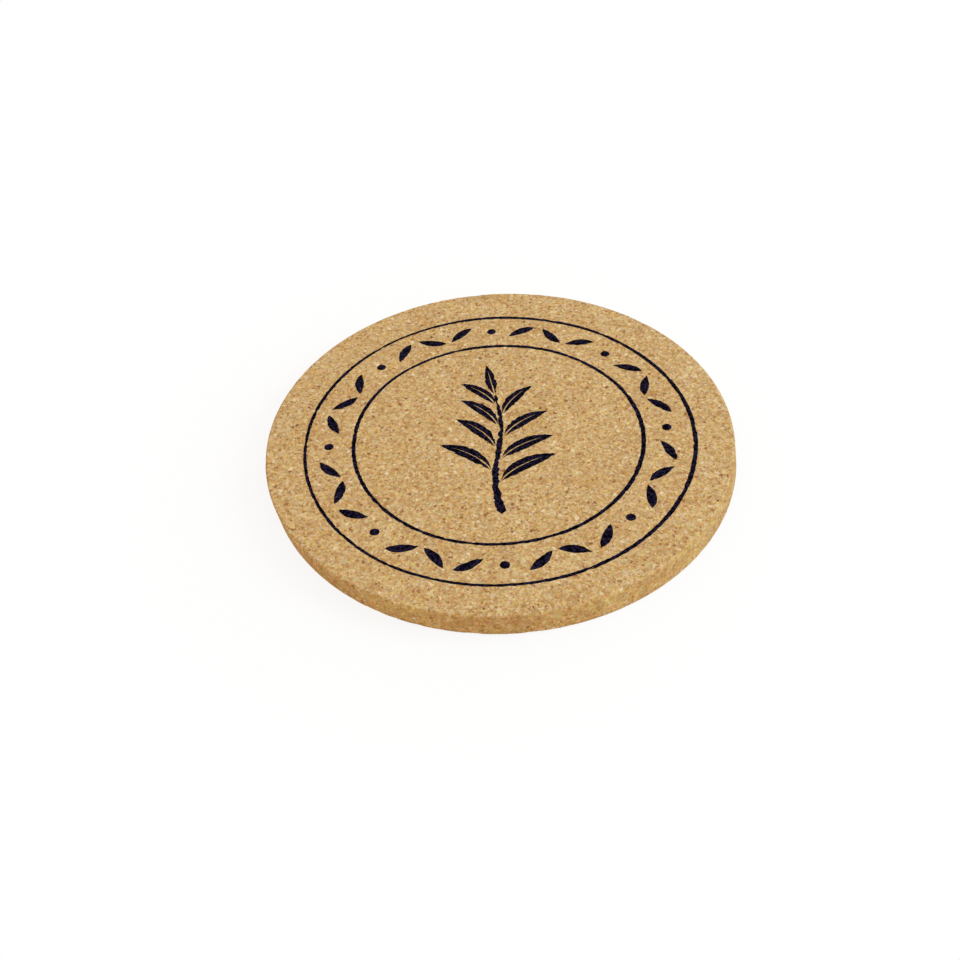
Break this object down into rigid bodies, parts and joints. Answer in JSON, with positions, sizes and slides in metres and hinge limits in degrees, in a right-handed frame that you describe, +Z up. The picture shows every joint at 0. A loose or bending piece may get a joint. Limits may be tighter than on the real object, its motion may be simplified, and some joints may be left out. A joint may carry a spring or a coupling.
{
  "type": "cork coaster",
  "caption": "Flat round pressed-cork drink coaster with softened edges and a dark one-colour print of ring borders, a leaf garland and a sprig; lies on a table under a cup.",
  "frame": {"origin": "centre of the flat underside, the face that lies on the table", "axes": "+Z up through the thickness, out of the printed face; +Y is the print's upright direction, from the foot of the sprig to its tip; +X is to the print's right"},
  "size_m": [0.1, 0.1, 0.0056],
  "materials": {
    "cork": "matte",
    "ink": "matte"
  },
  "bodies": {
    "root": {"cork_disc": "cork", "outer_ring_print": "ink", "inner_ring_print": "ink", "garland_dot_1": "ink", "garland_dot_2": "ink", "garland_dot_3": "ink", "garland_dot_4": "ink", "garland_dot_5": "ink", "garland_dot_6": "ink", "garland_dot_7": "ink", "garland_dot_8": "ink", "garland_leaf_01": "ink", "garland_leaf_02": "ink", "garland_leaf_03": "ink", "garland_leaf_04": "ink", "garland_leaf_05": "ink", "garland_leaf_06": "ink", "garland_leaf_07": "ink", "garland_leaf_08": "ink", "garland_leaf_09": "ink", "garland_leaf_10": "ink", "garland_leaf_11": "ink", "garland_leaf_12": "ink", "garland_leaf_13": "ink", "garland_leaf_14": "ink", "garland_leaf_15": "ink", "garland_leaf_16": "ink", "garland_leaf_17": "ink", "garland_leaf_18": "ink", "garland_leaf_19": "ink", "garland_leaf_20": "ink", "garland_leaf_21": "ink", "garland_leaf_22": "ink", "garland_leaf_23": "ink", "garland_leaf_24": "ink", "sprig_stem": "ink", "sprig_leaf_01": "ink", "sprig_leaf_02": "ink", "sprig_leaf_03": "ink", "sprig_leaf_04": "ink", "sprig_leaf_05": "ink", "sprig_leaf_06": "ink", "sprig_leaf_07": "ink", "sprig_leaf_08": "ink", "sprig_tip_leaf": "ink"}
  },
  "joints": []
}
